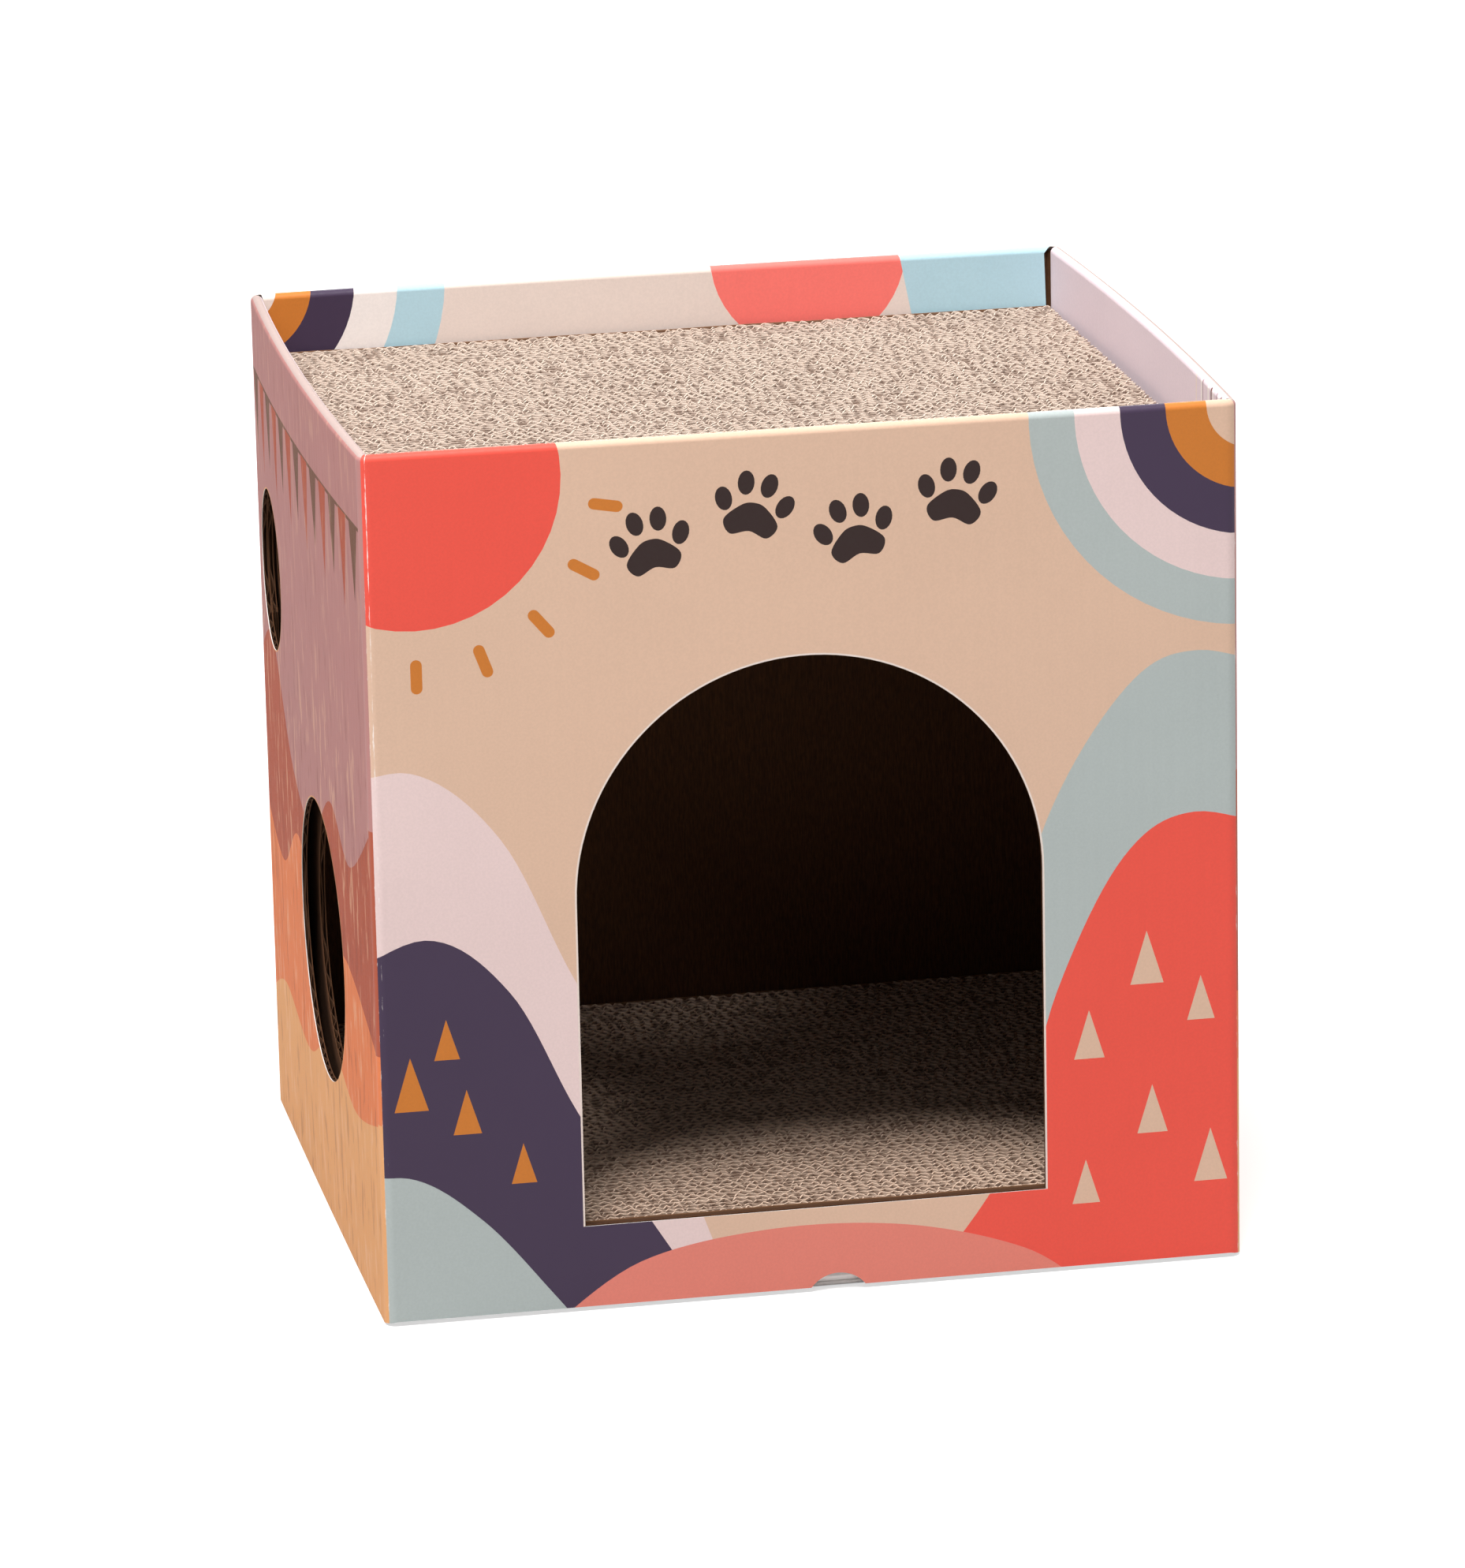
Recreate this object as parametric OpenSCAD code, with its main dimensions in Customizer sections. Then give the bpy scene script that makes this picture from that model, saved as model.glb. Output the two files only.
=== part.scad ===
// Cat house of corrugated board: a four-walled sleeve with an arched doorway, walls rolled over at the rim,
// a shelf insert on two legs, a scratch pad in the tray on top and another on the floor, and a tuck-in base.
// The front faces -Y, the origin is at the middle of the footprint on the floor, and +Z is up.

/* [House] */
// Outside width, left to right
house_w = 380; // [320:1:480]
// Outside depth, front to back
house_d = 335; // [280:1:420]
// Height from the floor to the top of the rolled rim
house_h = 385; // [350:1:480]
// Thickness of the corrugated board
board_t = 2.5; // [1.5:0.1:4]
// Slot between a wall and the lining folded down inside it
fold_gap = 0.5; // [0.2:0.1:2]
// Height of each lining, from the bend of the rim to its lower edge
lining_h = 75; // [50:1:95]
// Gap between neighbouring linings at an inside corner
corner_gap = 2; // [0.5:0.1:6]
// Width of the glue flap that closes the sleeve
seam_w = 25; // [10:1:40]
// Height of the front wall's cut lower edge above the floor
front_lift = 1.5; // [0.5:0.1:3]

/* [Doorway] */
// Width of the arched doorway
door_w = 204; // [120:1:260]
// Height of the doorway, from its sill to the top of the arch
door_h = 248; // [180:1:255]
// Height of the sill above the floor
sill_h = 38; // [37:1:60]

/* [Thumb notch] */
// Width of the notch in the front wall's lower edge
notch_w = 24; // [10:1:40]
// Height of the notch
notch_h = 6; // [2:0.5:12]
// Distance of the notch from the middle of the front
notch_offset = 9; // [-60:1:60]

/* [Side holes] */
// Diameter of the large round hole in the left wall
large_hole_d = 127; // [60:1:150]
// Distance of the large hole from mid-depth, positive to the rear
large_hole_y = -18; // [-40:1:20]
// Height of the large hole's centre
large_hole_z = 131; // [120:1:145]
// Diameter of the small round hole in the left wall
small_hole_d = 74; // [40:1:80]
// Distance of the small hole's centre from the rear face of the house
small_hole_rear = 53; // [52:0.5:100]
// Distance of the small hole's centre below the rim
small_hole_drop = 117; // [110:1:150]

/* [Scratch pads] */
// Depth of the top pad's face below the rim
tray_depth = 27; // [10:1:45]
// Thickness of the top pad
top_pad_t = 30; // [15:1:40]
// Thickness of the floor pad
floor_pad_t = 30; // [15:1:30]
// Clearance all round a pad
pad_clear = 1; // [0.5:0.1:5]
// Gap between the front wall and the front edge of the floor pad
floor_pad_setback = 12; // [8:1:40]
// Width of one strip of board on edge in a pad
strip_w = 4.2; // [3.5:0.1:10]
// Width of the groove between the wavy papers of two strips, over the flat papers glued there
groove_w = 2.6; // [0.5:0.1:3]
// Depth of the groove
groove_h = 2; // [0.5:0.1:6]

/* [Shelf] */
// Clearance between the shelf insert and the linings around it
shelf_clear = 0.8; // [0.4:0.1:3]
// Distance of each leg's edges from the front and rear edges of the deck
leg_inset = 3; // [1:0.5:20]

/* [Base] */
// Height of the flap that tucks up behind the front wall
tuck_h = 22; // [10:1:24]
// Gap between the front wall and the tuck flap
tuck_gap = 2.2; // [2:0.1:4]
// Distance of the tuck flap's ends from the side walls
tuck_inset = 4; // [1:0.5:30]
// Reach of each dust flap from its side wall
dust_len = 120; // [60:1:140]
// Gap between the tuck flap and the front edge of a dust flap
dust_gap = 1; // [1:0.1:6]

/* [Hidden] */
$fn = 96;

// Gap between pieces that lie on one another or fold past one another
lay_gap = 0.3;
// How far a cut runs past the faces that it opens
overrun = 5;

// Outside faces of the walls
right_x = house_w / 2;
rear_y = house_d / 2;
// Bend of the rim: its outer radius, and the height where the flat walls and linings begin
fold_r = board_t + fold_gap / 2;
bend_z = house_h - fold_r;
// Inner faces of the walls and of the linings folded inside them
wall_in_x = right_x - board_t;
wall_in_y = rear_y - board_t;
lining_out_x = wall_in_x - fold_gap;
lining_out_y = wall_in_y - fold_gap;
lining_in_x = lining_out_x - board_t;
lining_in_y = lining_out_y - board_t;
lining_z = bend_z - lining_h;

// Base, from the floor up: the panel, then the dust flaps, then what stands on them
base_x = wall_in_x - lay_gap;
base_rear_y = wall_in_y - lay_gap;
base_front_y = tuck_gap - wall_in_y;
dust_z = board_t + lay_gap;
floor_z = dust_z + board_t + lay_gap;

// Shelf insert: the deck under the top pad, and the outer face of its legs
deck_x = lining_in_x - shelf_clear;
deck_y = lining_in_y - shelf_clear;
top_pad_z = house_h - tray_depth - top_pad_t;
deck_z = top_pad_z - lay_gap - board_t;
leg_y = deck_y - leg_inset;
leg_in_x = deck_x - board_t;

// Arch of the doorway
arch_r = door_w / 2;
arch_z = sill_h + door_h - arch_r;
// Circle whose segment is the thumb notch
notch_r = (notch_w * notch_w / 4 + notch_h * notch_h) / (2 * notch_h);

// Colours of the print, the bare board and the pads
tan_print = [0.84, 0.70, 0.61];
coral_print = [0.90, 0.35, 0.29];
pink_print = [0.69, 0.51, 0.48];
lilac_print = [0.84, 0.77, 0.79];
blue_print = [0.69, 0.72, 0.71];
kraft = [0.50, 0.35, 0.22];
pad_tan = [0.84, 0.75, 0.68];

// A block from its lowest to its highest corner
module block(low, high) {
  translate(low) cube(high - low);
}

// Front or back wall, standing at y = 0 to board_t with its outer upright edges rounded like a crease
module long_wall(low_z) {
  translate([0, 0, low_z]) linear_extrude(bend_z - low_z) intersection() {
    translate([-right_x, 0]) square([house_w, board_t]);
    union() {
      translate([-wall_in_x, 0]) square([2 * wall_in_x, board_t]);
      for (side = [-1, 1]) translate([side * wall_in_x, board_t]) circle(board_t);
    }
  }
}

// The bend of a rolled rim along X, over a wall whose outer face is at y = 0
module rim(length) {
  translate([0, fold_r, bend_z]) rotate([90, 0, 90]) linear_extrude(length, center = true) difference() {
    intersection() {
      circle(fold_r);
      translate([-fold_r, 0]) square([2 * fold_r, fold_r]);
    }
    circle(fold_gap / 2);
  }
}

// The doorway's opening, cut from the front wall's face to past the lining behind it
module doorway_cut() {
  translate([0, overrun - lining_in_y, 0]) rotate([90, 0, 0]) linear_extrude(rear_y - lining_in_y + 2 * overrun) {
    translate([0, arch_z]) circle(arch_r);
    translate([-arch_r, sill_h]) square([door_w, arch_z - sill_h]);
  }
}

// The segment of a circle that the thumb notch takes from the front wall's lower edge
module notch_cut() {
  translate([notch_offset, overrun - wall_in_y, front_lift + notch_h - notch_r]) rotate([90, 0, 0])
    cylinder(r = notch_r, h = board_t + 2 * overrun);
}

// Both round holes, cut from the left wall's face to past the leg behind it
module side_hole_cuts() {
  for (hole = [[large_hole_d, large_hole_y, large_hole_z],
               [small_hole_d, rear_y - small_hole_rear, house_h - small_hole_drop]])
    translate([-right_x - overrun, hole[1], hole[2]]) rotate([0, 90, 0])
      cylinder(d = hole[0], h = right_x - leg_in_x + 2 * overrun);
}

// A leg of the shelf insert on the right, under the deck
module leg() {
  block([leg_in_x, -leg_y, floor_z], [deck_x, leg_y, deck_z]);
}

// The dust flap on the right, whose rear edge runs at 45 degrees so that it swings down clear of the base panel
module dust_flap() {
  front = base_front_y + board_t + dust_gap;
  rear = base_rear_y - board_t - lay_gap;
  translate([0, 0, dust_z]) linear_extrude(board_t)
    polygon([[base_x, front], [base_x, rear], [base_x - dust_len, rear - dust_len], [base_x - dust_len, front]]);
}

// The lining of the front or rear wall, at the rear
module long_lining() {
  end_x = lining_in_x - corner_gap;
  block([-end_x, lining_in_y, lining_z], [end_x, lining_out_y, bend_z]);
}

// The wall, lining and rim of a side, on the right
module side_wall() {
  block([wall_in_x, -wall_in_y, 0], [right_x, wall_in_y, bend_z]);
}

module side_lining() {
  block([lining_in_x, -lining_out_y, lining_z], [lining_out_x, lining_out_y, bend_z]);
}

module side_rim() {
  length = house_d - 2 * (2 * fold_r + fold_gap);
  translate([right_x, 0, 0]) rotate([0, 0, 90]) rim(length);
}

module front_wall() {
  color(tan_print) difference() {
    translate([0, -rear_y, 0]) long_wall(front_lift);
    doorway_cut();
    notch_cut();
  }
}

module front_rim() {
  color(tan_print) translate([0, -rear_y, 0]) rim(2 * wall_in_x);
}

module front_lining() {
  color(coral_print) difference() {
    mirror([0, 1, 0]) long_lining();
    doorway_cut();
  }
}

module back_wall() {
  color(blue_print) mirror([0, 1, 0]) translate([0, -rear_y, 0]) long_wall(0);
}

module back_rim() {
  color(blue_print) mirror([0, 1, 0]) translate([0, -rear_y, 0]) rim(2 * wall_in_x);
}

module back_lining() {
  color(coral_print) long_lining();
}

module left_wall() {
  color(pink_print) difference() {
    mirror([1, 0, 0]) side_wall();
    side_hole_cuts();
  }
}

module left_rim() {
  color(lilac_print) mirror([1, 0, 0]) side_rim();
}

module left_lining() {
  color(lilac_print) difference() {
    mirror([1, 0, 0]) side_lining();
    side_hole_cuts();
  }
}

module right_wall() {
  color(pink_print) side_wall();
}

module right_rim() {
  color(lilac_print) side_rim();
}

module right_lining() {
  color(lilac_print) side_lining();
}

// Glue flap of the back wall, on the inner face of the left wall
module seam_flap() {
  color(kraft) difference() {
    block([-wall_in_x, wall_in_y - seam_w, floor_z], [board_t - wall_in_x, wall_in_y, lining_z - lay_gap]);
    side_hole_cuts();
  }
}

module shelf_deck() {
  color(kraft) block([-deck_x, -deck_y, deck_z], [deck_x, deck_y, deck_z + board_t]);
}

module shelf_left_leg() {
  color(kraft) difference() {
    mirror([1, 0, 0]) leg();
    side_hole_cuts();
  }
}

module shelf_right_leg() {
  color(kraft) leg();
}

// A pad of strips of board on edge along X, glued side by side, with a rib for each strip's wavy paper
module pad(low, high) {
  count = round((high[1] - low[1]) / strip_w);
  pitch = (high[1] - low[1]) / count;
  groove = [[-groove_w / 2, 0], [-groove_w / 2, -groove_h], [groove_w / 2, -groove_h], [groove_w / 2, 0]];
  grooves = [for (k = [1 : count - 1], point = groove) [low[1] + k * pitch, high[2]] + point];
  profile = concat([[low[1], low[2]], [low[1], high[2]]], grooves, [[high[1], high[2]], [high[1], low[2]]]);
  translate([low[0], 0, 0]) rotate([90, 0, 90]) linear_extrude(high[0] - low[0]) polygon(profile);
}

module top_scratch_pad() {
  pad_x = lining_in_x - pad_clear;
  pad_y = lining_in_y - pad_clear;
  color(pad_tan) pad([-pad_x, -pad_y, top_pad_z], [pad_x, pad_y, top_pad_z + top_pad_t]);
}

module floor_scratch_pad() {
  pad_x = leg_in_x - pad_clear;
  color(pad_tan) pad(
    [-pad_x, floor_pad_setback - wall_in_y, floor_z],
    [pad_x, lining_in_y - pad_clear, floor_z + floor_pad_t]
  );
}

module base_panel() {
  color(kraft) block([-base_x, base_front_y, 0], [base_x, base_rear_y, board_t]);
}

module base_tuck_flap() {
  end_x = wall_in_x - tuck_inset;
  color(kraft) block([-end_x, base_front_y, board_t], [end_x, base_front_y + board_t, board_t + tuck_h]);
}

module left_dust_flap() {
  color(kraft) mirror([1, 0, 0]) dust_flap();
}

module right_dust_flap() {
  color(kraft) dust_flap();
}

front_wall();
front_rim();
front_lining();
back_wall();
back_rim();
back_lining();
left_wall();
left_rim();
left_lining();
right_wall();
right_rim();
right_lining();
seam_flap();
shelf_deck();
shelf_left_leg();
shelf_right_leg();
top_scratch_pad();
floor_scratch_pad();
base_panel();
base_tuck_flap();
left_dust_flap();
right_dust_flap();
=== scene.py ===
import math
import random

import bpy
import numpy as np
from mathutils import Matrix, Vector
from mathutils.geometry import delaunay_2d_cdt


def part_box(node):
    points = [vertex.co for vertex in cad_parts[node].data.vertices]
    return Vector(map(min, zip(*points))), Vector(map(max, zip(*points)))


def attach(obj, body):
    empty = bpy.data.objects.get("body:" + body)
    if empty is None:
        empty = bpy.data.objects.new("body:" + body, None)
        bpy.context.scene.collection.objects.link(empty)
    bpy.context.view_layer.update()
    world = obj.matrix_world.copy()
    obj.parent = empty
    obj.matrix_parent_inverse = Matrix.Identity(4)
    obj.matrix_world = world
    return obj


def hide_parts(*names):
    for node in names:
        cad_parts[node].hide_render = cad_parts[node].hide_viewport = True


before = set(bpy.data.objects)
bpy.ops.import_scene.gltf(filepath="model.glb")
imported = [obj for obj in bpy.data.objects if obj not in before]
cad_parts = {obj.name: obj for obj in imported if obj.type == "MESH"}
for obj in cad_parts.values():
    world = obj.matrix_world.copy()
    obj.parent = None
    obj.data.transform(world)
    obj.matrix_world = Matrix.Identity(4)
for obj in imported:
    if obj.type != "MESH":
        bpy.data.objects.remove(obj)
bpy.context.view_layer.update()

# Shapes are worked out in millimetres and scaled to metres when a mesh is made.
MM = 0.001


def mm_box(node):
    """Lowest and highest corner of a CAD node, in millimetres."""
    low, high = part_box(node)
    return [v / MM for v in low], [v / MM for v in high]


FRONT_LOW, FRONT_HIGH = mm_box("front_wall")
HALF_W = FRONT_HIGH[0]
HALF_D = -FRONT_LOW[1]
BOARD = FRONT_HIGH[1] - FRONT_LOW[1]
BEND_Z = FRONT_HIGH[2]
FRONT_LIFT = FRONT_LOW[2]
RIM_Z = mm_box("front_rim")[1][2]
RIM_R = RIM_Z - BEND_Z
LINING_HALF = mm_box("front_lining")[1][0]
LINING_Z = mm_box("front_lining")[0][2]

# The walls' corners are soft creases, and the sheet rolls over the rim from BEND_Z to ROLL_END.
CORNER_R = 5.0
ROLL_END = BEND_Z + math.pi * RIM_R
CREST = (BEND_Z + ROLL_END) / 2
SHEET_END = ROLL_END + BEND_Z - LINING_Z
# Part way over the rim the side walls' print turns dusty and then lilac: on the right wall at the crest, and
# on the left wall further on, at the end set below, where the dusty colour past the crest is painted shade
# that tones down the light on that rim.
DUSTY_START = BEND_Z + RIM_R * math.radians(42)
DUSTY_SHADE_END = BEND_Z + RIM_R * math.radians(128)

# Openings of the part: the doorway, the thumb notch and the round holes (centre along Y, height, radius).
DOOR_HALF = 102.0
SILL = 38.0
ARCH_Z = 184.0
NOTCH_U, NOTCH_HALF, NOTCH_H = 9.0, 12.0, 6.0
LARGE_HOLE = (-18.0, 131.0, 63.5)
SMALL_HOLE = (114.5, 268.0, 37.0)
# Pale margin of the doorway's cut
DOOR_MARGIN = 0.8

# Board: two papers and a fluted one between them.
PAPER = 0.35
FLUTE_PAPER = 0.3
FLUTE_PITCH = 6.5
FLUTE_SAMPLES = 8
FLUTE_ROWS = 5


def rgb(red, green, blue):
    """A colour as seen on screen, turned to linear light."""
    def linear(c):
        c /= 255.0
        return c / 12.92 if c <= 0.04045 else ((c + 0.055) / 1.055) ** 2.4
    return (linear(red), linear(green), linear(blue))


TAN = rgb(216, 181, 157)
CORAL = rgb(231, 84, 70)
ROSE = rgb(222, 128, 113)
BLUE = rgb(174, 182, 180)
SKY = rgb(178, 211, 222)
SALMON = rgb(246, 120, 111)
PLUM = rgb(62, 48, 70)
BLUSH = rgb(227, 202, 199)
OCHRE = rgb(198, 118, 47)
BEIGE = rgb(229, 212, 202)
PALE = rgb(240, 231, 226)
WHITE = rgb(248, 242, 239)
LILAC = rgb(224, 207, 213)
# Lilac in painted shade, for the gaps between layers at the side linings' creases
PAINTED_LILAC_SHADE = rgb(178, 154, 158)
DUSTY = rgb(176, 156, 150)
PINK = rgb(180, 127, 123)
CLAY = rgb(172, 84, 60)
APRICOT = rgb(224, 126, 78)
SAND = rgb(226, 164, 110)
BROWN = rgb(112, 76, 58)
DARK = rgb(40, 24, 22)
KRAFT = rgb(150, 108, 76)
STREAK_LIGHT = rgb(236, 192, 158)
STREAK_DARK = rgb(118, 58, 44)
# Painted shade, deep down between a pad's papers
PAD_PAINTED_SHADE = rgb(112, 78, 59)
FLOOR_GREY = rgb(186, 185, 184)


# Loops of points for openings and print, all running counterclockwise

def turned(points, u, v, degrees=0.0, size=1.0):
    """Points turned, scaled and moved to (u, v)."""
    c, s = math.cos(math.radians(degrees)) * size, math.sin(math.radians(degrees)) * size
    return [(u + c * a - s * b, v + s * a + c * b) for a, b in points]


def disc(u, v, r, tall=1.0, degrees=0.0, n=48):
    ring = [(r * math.cos(t), r * tall * math.sin(t)) for t in np.linspace(0, 2 * math.pi, n, endpoint=False)]
    return turned(ring, u, v, degrees)


def arc(u, v, r, start, stop, n):
    """Points of an arc between two angles in degrees."""
    return [(u + r * math.cos(t), v + r * math.sin(t)) for t in np.radians(np.linspace(start, stop, n))]


def block(u0, v0, u1, v1):
    """An upright rectangle."""
    return [(u0, v0), (u1, v0), (u1, v1), (u0, v1)]


def band(u, v, inner, outer, start, stop, n=40):
    """Part of a ring between two angles."""
    return arc(u, v, outer, start, stop, n) + arc(u, v, inner, stop, start, n)


def bar(u, v, length, width, degrees, n=9):
    """A dash with round ends."""
    r, h = width / 2, length / 2 - width / 2
    return turned(arc(h, 0, r, -90, 90, n) + arc(-h, 0, r, 90, 270, n), u, v, degrees)


def smooth(points, steps=10, closed=False):
    """A smooth curve through the points."""
    count = len(points)
    out = []
    for i in range(count if closed else count - 1):
        pick = [points[(i + k) % count if closed else min(max(i + k, 0), count - 1)] for k in (-1, 0, 1, 2)]
        p0, p1, p2, p3 = (np.array(p, float) for p in pick)
        for t in np.linspace(0, 1, steps, endpoint=False):
            q = 2 * p1 + (p2 - p0) * t + (2 * p0 - 5 * p1 + 4 * p2 - p3) * t * t
            q += (3 * p1 - p0 - 3 * p2 + p3) * t ** 3
            out.append(tuple(q / 2))
    return out if closed else out + [tuple(points[-1])]


def hill(*points, floor=-20.0):
    """Ground under a smooth skyline that runs from left to right."""
    line = smooth(points)
    return [(line[0][0], floor), (line[-1][0], floor)] + line[::-1]


def tree(u, v, tall, wide):
    return [(u - wide / 2, v), (u + wide / 2, v), (u, v + tall)]


def paw(u, v, size, degrees):
    """The loops of a paw print."""
    pad = smooth([(0, -0.34), (0.3, -0.42), (0.44, -0.2), (0.2, 0.06), (0, 0.12), (-0.2, 0.06), (-0.44, -0.2),
                  (-0.3, -0.42)], 6, True)
    toes = [(-0.5, 0.12, 24), (-0.19, 0.42, 8), (0.19, 0.42, -8), (0.5, 0.12, -24)]
    loops = [pad] + [disc(a, b, 0.135, 1.45, lean, 20) for a, b, lean in toes]
    return [turned(loop, u, v, degrees, size) for loop in loops]


def arch(grow=0.0, n=64):
    """The doorway's outline, grown by a margin at its sides and top."""
    r = DOOR_HALF + grow
    return [(-r, SILL), (r, SILL)] + arc(0, ARCH_Z, r, 0, 180, n)


# Sheets of board

def roll(v, d):
    """Inward distance and height at depth d of a wall sheet, where v runs up the wall and over the rim."""
    if v <= BEND_Z:
        return d, v
    a = (v - BEND_Z) / RIM_R
    if a <= math.pi:
        return RIM_R - (RIM_R - d) * math.cos(a), BEND_Z + (RIM_R - d) * math.sin(a)
    return 2 * RIM_R - d, BEND_Z - RIM_R * (a - math.pi)


# Share of a wall's bow at the rim that is left at its foot
FOOT_BOW = 0.14


def bulge(z):
    """How far a wall has bowed at a height, as a share of its bow at the rim."""
    return FOOT_BOW + (1 - FOOT_BOW) * min(max(z / RIM_Z, 0.0), 1.0)


class Wall:
    """One wall's sheet: u to the right seen from outside, v up, d into the board."""

    def __init__(self, origin, along, inward, half, bow):
        self.origin, self.along, self.inward = Vector(origin), Vector(along), Vector(inward)
        self.half, self.bow = half, bow

    def place(self, u, v, d):
        s, z = roll(v, d)
        t = min(abs(u) / self.half, 1.0)
        s -= self.bow * bulge(z) * (1 - t * t)
        past = abs(u) - self.half
        if past > 0:
            a = past / CORNER_R
            u = math.copysign(self.half + (CORNER_R - s) * math.sin(a), u)
            s = CORNER_R - (CORNER_R - s) * math.cos(a)
        p = self.origin + self.along * u + self.inward * s
        return (p.x, p.y, z)


LONG_HALF = HALF_W - CORNER_R
SHORT_HALF = HALF_D - CORNER_R
ARC_HALF = LONG_HALF + CORNER_R * math.pi / 2
# A long wall's lining stops SNUG short on one side, and flares a little downward on the other.
SNUG, LINING_FLARE = 0.7, 1.0
SNUG_HALF = LONG_HALF - SNUG
CRACK_U = LONG_HALF + (ARC_HALF - LONG_HALF) / 4
# The walls, each with its bow at the rim
front = Wall((0, -HALF_D, 0), (1, 0, 0), (0, 1, 0), LONG_HALF, 1.0)
back = Wall((0, HALF_D, 0), (-1, 0, 0), (0, -1, 0), LONG_HALF, 2.0)
left = Wall((-HALF_W, 0, 0), (0, -1, 0), (1, 0, 0), SHORT_HALF, 4.0)
right = Wall((HALF_W, 0, 0), (0, 1, 0), (-1, 0, 0), SHORT_HALF, 3.6)


# Millimetres of sheet in one unit of UV
UV_UNIT = 100


class Piece:
    """The points and faces of one piece.

    Its materials read each point's place in the sheet, the wear and the ink.
    """

    def __init__(self):
        self.points, self.sheet, self.normals, self.faces, self.looks = [], [], [], [], []

    def point(self, xyz, u=0.0, v=0.0, wear=0.0, normal=(0.0, 0.0, 0.0)):
        self.points.append(xyz)
        self.sheet.append((u, v, wear))
        self.normals.append(normal)
        return len(self.points) - 1

    def face(self, corners, material, ink, curved=False):
        """A face. A curved one takes the exact normals of its points."""
        self.faces.append(corners)
        self.looks.append((material, ink, curved))

    def build(self, name, body, nodes, materials):
        mesh = bpy.data.meshes.new(name)
        mesh.from_pydata([Vector(p) * MM for p in self.points], [], self.faces)
        for material in materials:
            mesh.materials.append(material)
        mesh.polygons.foreach_set("material_index", [look[0] for look in self.looks])
        uvs, inks, normals = [], [], []
        for corners, (_, colour, curved) in zip(self.faces, self.looks):
            for i in corners:
                u, v, wear = self.sheet[i]
                uvs += (u / UV_UNIT, v / UV_UNIT)
                inks += (*colour, wear)
                normals.append(self.normals[i] if curved else (0.0, 0.0, 0.0))
        mesh.uv_layers.new(name="sheet").data.foreach_set("uv", uvs)
        mesh.color_attributes.new("ink", "FLOAT_COLOR", "CORNER").data.foreach_set("color", inks)
        show(mesh, name, body, nodes, normals)


# Edges that turn by more than this stay sharp.
SHARP = math.radians(38)


def show(mesh, name, body, nodes, normals=None):
    """Puts a finished mesh in the scene as a piece of the part."""
    mesh.shade_smooth()
    mesh.set_sharp_from_angle(angle=SHARP)
    if normals:
        mesh.normals_split_custom_set(normals)
    piece = bpy.data.objects.new(name, mesh)
    bpy.context.scene.collection.objects.link(piece)
    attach(piece, body)
    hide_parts(*nodes)


# Places of the materials in each piece's list
PRINT, KRAFT_FACE, FLUTE = 0, 1, 2

# The triangulation covers the points' hull and joins points closer than TOUCH.
WITH_HULL, TOUCH = 0, 1e-4


def counterclockwise(loop):
    area = sum(a[0] * b[1] - b[0] * a[1] for a, b in zip(loop, loop[1:] + loop[:1]))
    return loop if area > 0 else loop[::-1]


def slope(place, u, v, d, side):
    """Normal of the sheet at a point, from its slopes along u and v."""
    step = 0.02
    along = Vector(place(u + step, v, d)) - Vector(place(u - step, v, d))
    up = Vector(place(u, v + step, d)) - Vector(place(u, v - step, d))
    return tuple(along.cross(up).normalized() * side)


def paper(piece, place, outline, near, far, look, edge, holes=(), print_=(), lines=(), dots=(), wear=None):
    """A sheet of paper between two depths, cut to the outline, with print in painter's order."""
    loops = [outline, *holes, *(loop for loop, _ in print_)]
    inks = {1 + len(holes) + i: colour for i, (_, colour) in enumerate(print_)}
    points, faces, edges = [], [], []
    for loop in loops:
        loop = counterclockwise(list(loop))
        faces.append(list(range(len(points), len(points) + len(loop))))
        points += loop
    for a, b in lines:
        edges.append((len(points), len(points) + 1))
        points += [a, b]
    points += dots
    points = [Vector(p) for p in points]
    flat, _, triangles, _, _, owners = delaunay_2d_cdt(points, edges, faces, WITH_HULL, TOUCH)
    material, ground = look
    ids, rims = {}, {}

    def corner(i):
        if i not in ids:
            u, v = flat[i]
            w = wear(u, v) if wear else 0.0
            ids[i] = (piece.point(place(u, v, near), u, v, w, slope(place, u, v, near, 1)),
                      piece.point(place(u, v, far), u, v, w, slope(place, u, v, far, -1)))
        return ids[i]

    for tri, own in zip(triangles, owners):
        if 0 not in own or any(1 <= i <= len(holes) for i in own):
            continue
        a, b, c = (flat[i] for i in tri)
        if (b - a).cross(c - a) < 0:
            tri = tri[::-1]
        top = max((i for i in own if i in inks), default=None)
        ink = ground if top is None else inks[top]
        pairs = [corner(i) for i in tri]
        piece.face([p[0] for p in pairs], material, ink, True)
        piece.face([p[1] for p in pairs[::-1]], material, ink if material != PRINT else PALE, True)
        for i in range(3):
            rims[tri[i], tri[(i + 1) % 3]] = True
    for a, b in rims:
        if (b, a) not in rims:
            (a0, a1), (b0, b1) = corner(a), corner(b)
            piece.face([b0, a0, a1, b1], *edge)


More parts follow.
